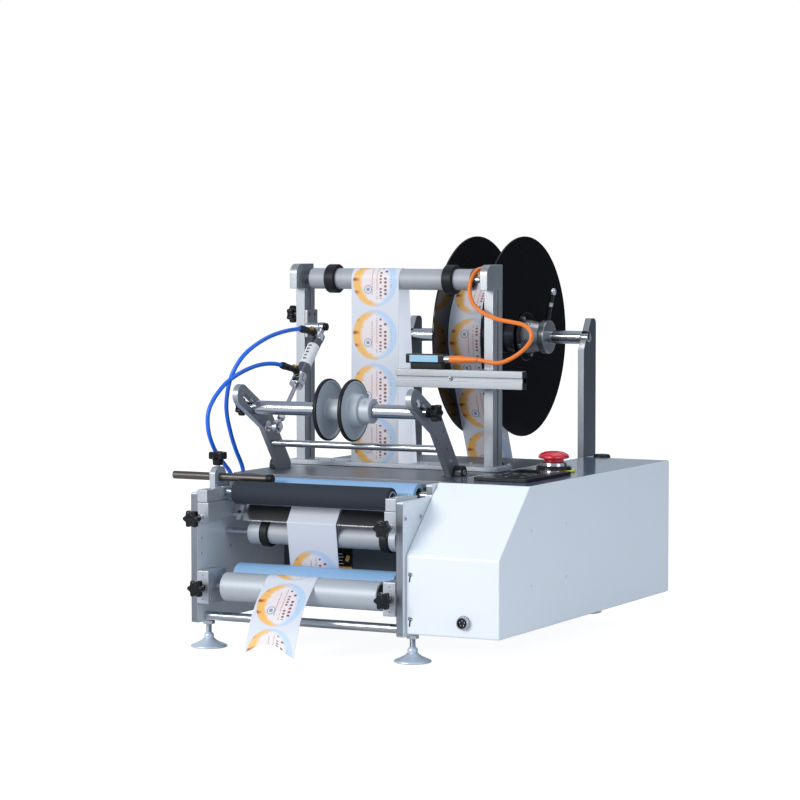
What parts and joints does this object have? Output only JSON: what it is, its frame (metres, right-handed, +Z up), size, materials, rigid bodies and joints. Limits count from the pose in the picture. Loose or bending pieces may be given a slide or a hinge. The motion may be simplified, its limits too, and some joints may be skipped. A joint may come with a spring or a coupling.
{
  "type": "bottle labelling machine",
  "caption": "Table-top machine that rolls a bottle under press wheels and wraps a label round it, fed from a reel over rollers, with an air cylinder arm.",
  "frame": {"origin": "on the floor under the middle of the machine's bounding box", "axes": "+X to the right along the rollers, +Y to the back, +Z up"},
  "size_m": [0.5222, 0.8312, 0.5565],
  "materials": {
    "air_regulator": "black",
    "air_tube_lower": "blue tube",
    "air_tube_upper": "blue tube",
    "air_valve": "dark",
    "arm_pivot_block_left": "black",
    "arm_pivot_block_right": "black",
    "back_panel": "dark",
    "bearing_block_left": "satin brushed",
    "bearing_block_right": "satin brushed",
    "blue_roller": "light blue",
    "casing": "gloss white",
    "control_electronics": "green board",
    "control_panel": "black gloss",
    "cylinder_barrel": "brushed",
    "cylinder_bracket": "satin brushed",
    "deck": "brushed",
    "drive_roller": "light blue",
    "estop_base": "yellow",
    "estop_button": "red",
    "foam_roller": "charcoal foam",
    "guide_roller": "satin brushed",
    "knob_block_left": "black",
    "knob_block_right": "black",
    "knob_pinch_left": "black",
    "knob_pinch_right": "black",
    "knob_stop": "black",
    "label_roll": "paper white",
    "label_sensor": "black",
    "label_web": "paper white",
    "motor": "dark",
    "peel_plate": "brushed",
    "pinch_bracket_left": "satin brushed",
    "pinch_bracket_right": "satin brushed",
    "pinch_roller": "satin brushed",
    "piston_rod": "polished",
    "press_arm_left": "satin brushed",
    "press_arm_right": "satin brushed",
    "press_shaft": "polished",
    "press_wheels": "satin brushed",
    "rear_guide_roller": "satin brushed",
    "reel_disc": "black gloss",
    "reel_hub": "satin brushed",
    "reel_lever": "dark",
    "reel_post_left": "satin brushed",
    "reel_post_right": "satin brushed",
    "reel_shaft": "polished",
    "reel_spool": "black gloss",
    "rise_guide_roller": "satin brushed",
    "sensor_bar": "satin brushed",
    "sensor_cable": "orange",
    "side_plate_left": "satin brushed",
    "side_plate_right": "satin brushed",
    "stop_clamp": "satin brushed",
    "stop_rod": "dark",
    "tie_rod": "brushed",
    "top_roller": "satin brushed",
    "upright_foot_bar": "satin brushed",
    "upright_left": "satin brushed",
    "upright_right": "satin brushed",
    "web_drop_bar": "brushed"
  },
  "bodies": {
    "reel": {"reel_shaft": "reel_shaft", "reel_spool": "reel_spool", "reel_disc": "reel_disc", "label_roll": "label_roll", "reel_hub": "reel_hub"},
    "reel_lever": {"reel_lever": "reel_lever"},
    "top_roller": {"top_roller": "top_roller"},
    "foam_roller": {"foam_roller": "foam_roller"},
    "blue_roller": {"blue_roller": "blue_roller"},
    "guide_roller": {"guide_roller": "guide_roller"},
    "rear_guide_roller": {"rear_guide_roller": "rear_guide_roller"},
    "rise_guide_roller": {"rise_guide_roller": "rise_guide_roller"},
    "drive_roller": {"drive_roller": "drive_roller"},
    "pinch_roller": {"pinch_roller": "pinch_roller"},
    "press_arm": {"press_arm_left": "press_arm_left", "press_arm_right": "press_arm_right", "press_shaft": "press_shaft"},
    "press_wheels": {"press_wheels": "press_wheels"},
    "cylinder": {"cylinder_barrel": "cylinder_barrel"},
    "piston_rod": {"piston_rod": "piston_rod"},
    "estop_button": {"estop_button": "estop_button"},
    "stop_rod": {"stop_rod": "stop_rod"},
    "knob_block_left": {"knob_block_left": "knob_block_left"},
    "knob_block_right": {"knob_block_right": "knob_block_right"},
    "knob_pinch_left": {"knob_pinch_left": "knob_pinch_left"},
    "knob_pinch_right": {"knob_pinch_right": "knob_pinch_right"},
    "knob_stop": {"knob_stop": "knob_stop"},
    "frame": {"air_regulator": "air_regulator", "air_tube_lower": "air_tube_lower", "air_tube_upper": "air_tube_upper", "air_valve": "air_valve", "arm_pivot_block_left": "arm_pivot_block_left", "arm_pivot_block_right": "arm_pivot_block_right", "back_panel": "back_panel", "bearing_block_left": "bearing_block_left", "bearing_block_right": "bearing_block_right", "casing": "casing", "control_electronics": "control_electronics", "control_panel": "control_panel", "cylinder_bracket": "cylinder_bracket", "deck": "deck", "estop_base": "estop_base", "label_sensor": "label_sensor", "label_web": "label_web", "motor": "motor", "peel_plate": "peel_plate", "pinch_bracket_left": "pinch_bracket_left", "pinch_bracket_right": "pinch_bracket_right", "reel_post_left": "reel_post_left", "reel_post_right": "reel_post_right", "sensor_bar": "sensor_bar", "sensor_cable": "sensor_cable", "side_plate_left": "side_plate_left", "side_plate_right": "side_plate_right", "stop_clamp": "stop_clamp", "tie_rod": "tie_rod", "upright_foot_bar": "upright_foot_bar", "upright_left": "upright_left", "upright_right": "upright_right", "web_drop_bar": "web_drop_bar"}
  },
  "joints": [
    {"name": "reel_spin", "type": "hinge", "parent": "frame", "child": "reel", "pos_m": [-0.03535, 0.26559, 0.4065], "axis": [1, 0, 0], "continuous": true},
    {"name": "reel_lever_turn", "type": "hinge", "parent": "reel", "child": "reel_lever", "pos_m": [0.0454, 0.26559, 0.4265], "axis": [0.2079, 0, 0.9781], "range_deg": [-90, 90]},
    {"name": "top_roller_spin", "type": "hinge", "parent": "frame", "child": "top_roller", "pos_m": [-0.03535, -0.06241, 0.4975], "axis": [1, 0, 0], "continuous": true},
    {"name": "foam_roller_spin", "type": "hinge", "parent": "frame", "child": "foam_roller", "pos_m": [-0.03535, -0.30941, 0.212], "axis": [1, 0, 0], "continuous": true},
    {"name": "blue_roller_spin", "type": "hinge", "parent": "frame", "child": "blue_roller", "pos_m": [-0.03535, -0.26241, 0.2145], "axis": [1, 0, 0], "continuous": true},
    {"name": "guide_roller_spin", "type": "hinge", "parent": "frame", "child": "guide_roller", "pos_m": [-0.03535, -0.28041, 0.1555], "axis": [1, 0, 0], "continuous": true},
    {"name": "rear_guide_spin", "type": "hinge", "parent": "frame", "child": "rear_guide_roller", "pos_m": [-0.03535, 0.23659, 0.169], "axis": [1, 0, 0], "continuous": true},
    {"name": "rise_guide_spin", "type": "hinge", "parent": "frame", "child": "rise_guide_roller", "pos_m": [-0.03535, -0.03241, 0.187], "axis": [1, 0, 0], "continuous": true},
    {"name": "drive_roller_spin", "type": "hinge", "parent": "frame", "child": "drive_roller", "pos_m": [-0.03535, -0.29964, 0.09525], "axis": [1, 0, 0], "continuous": true},
    {"name": "pinch_roller_spin", "type": "hinge", "parent": "frame", "child": "pinch_roller", "pos_m": [-0.03535, -0.33941, 0.0868], "axis": [1, 0, 0], "continuous": true},
    {"name": "arm_swing", "type": "hinge", "parent": "frame", "child": "press_arm", "pos_m": [-0.03535, -0.15641, 0.237], "axis": [1, 0, 0], "range_deg": [-2, 20]},
    {"name": "press_wheels_spin", "type": "hinge", "parent": "press_arm", "child": "press_wheels", "pos_m": [-0.03535, -0.24111, 0.32315], "axis": [1, 0, 0], "continuous": true},
    {"name": "cylinder_tilt", "type": "hinge", "parent": "frame", "child": "cylinder", "pos_m": [-0.1481, -0.07741, 0.429], "axis": [1, 0, 0], "range_deg": [-0.08, 0.6], "deforming": ["air_tube_upper", "air_tube_lower"]},
    {"name": "rod_slide", "type": "slide", "parent": "cylinder", "child": "piston_rod", "axis": [0, -0.6991, -0.7151], "range_m": [-0.00309, 0.02733]},
    {"name": "estop_press", "type": "slide", "parent": "frame", "child": "estop_button", "axis": [0, 0, 1], "range_m": [-0.004, 0], "stiffness_N_per_m": 1200},
    {"name": "stop_rod_slide", "type": "slide", "parent": "frame", "child": "stop_rod", "axis": [1, 0, 0], "range_m": [-0.03, 0.03]},
    {"name": "knob_block_left_turn", "type": "hinge", "parent": "frame", "child": "knob_block_left", "pos_m": [-0.1791, -0.35941, 0.181], "axis": [0, -1, 0], "range_deg": [-120, 120]},
    {"name": "knob_pinch_left_turn", "type": "hinge", "parent": "frame", "child": "knob_pinch_left", "pos_m": [-0.1771, -0.36141, 0.0865], "axis": [0, -1, 0], "range_deg": [-120, 120]},
    {"name": "knob_block_right_turn", "type": "hinge", "parent": "frame", "child": "knob_block_right", "pos_m": [0.1084, -0.35941, 0.181], "axis": [0, -1, 0], "range_deg": [-120, 120]},
    {"name": "knob_pinch_right_turn", "type": "hinge", "parent": "frame", "child": "knob_pinch_right", "pos_m": [0.1064, -0.36141, 0.0865], "axis": [0, -1, 0], "range_deg": [-120, 120]},
    {"name": "knob_stop_turn", "type": "hinge", "parent": "frame", "child": "knob_stop", "pos_m": [-0.1911, -0.29641, 0.2443], "axis": [0, 0, 1], "range_deg": [-120, 120]}
  ],
  "couplings": [
    {"joint": "pinch_roller_spin", "follows": "drive_roller_spin", "ratio": -1.0256},
    {"joint": "cylinder_tilt", "follows": "arm_swing", "ratio": 0.029},
    {"joint": "rod_slide", "follows": "arm_swing", "m_per_rad": 0.07716}
  ]
}
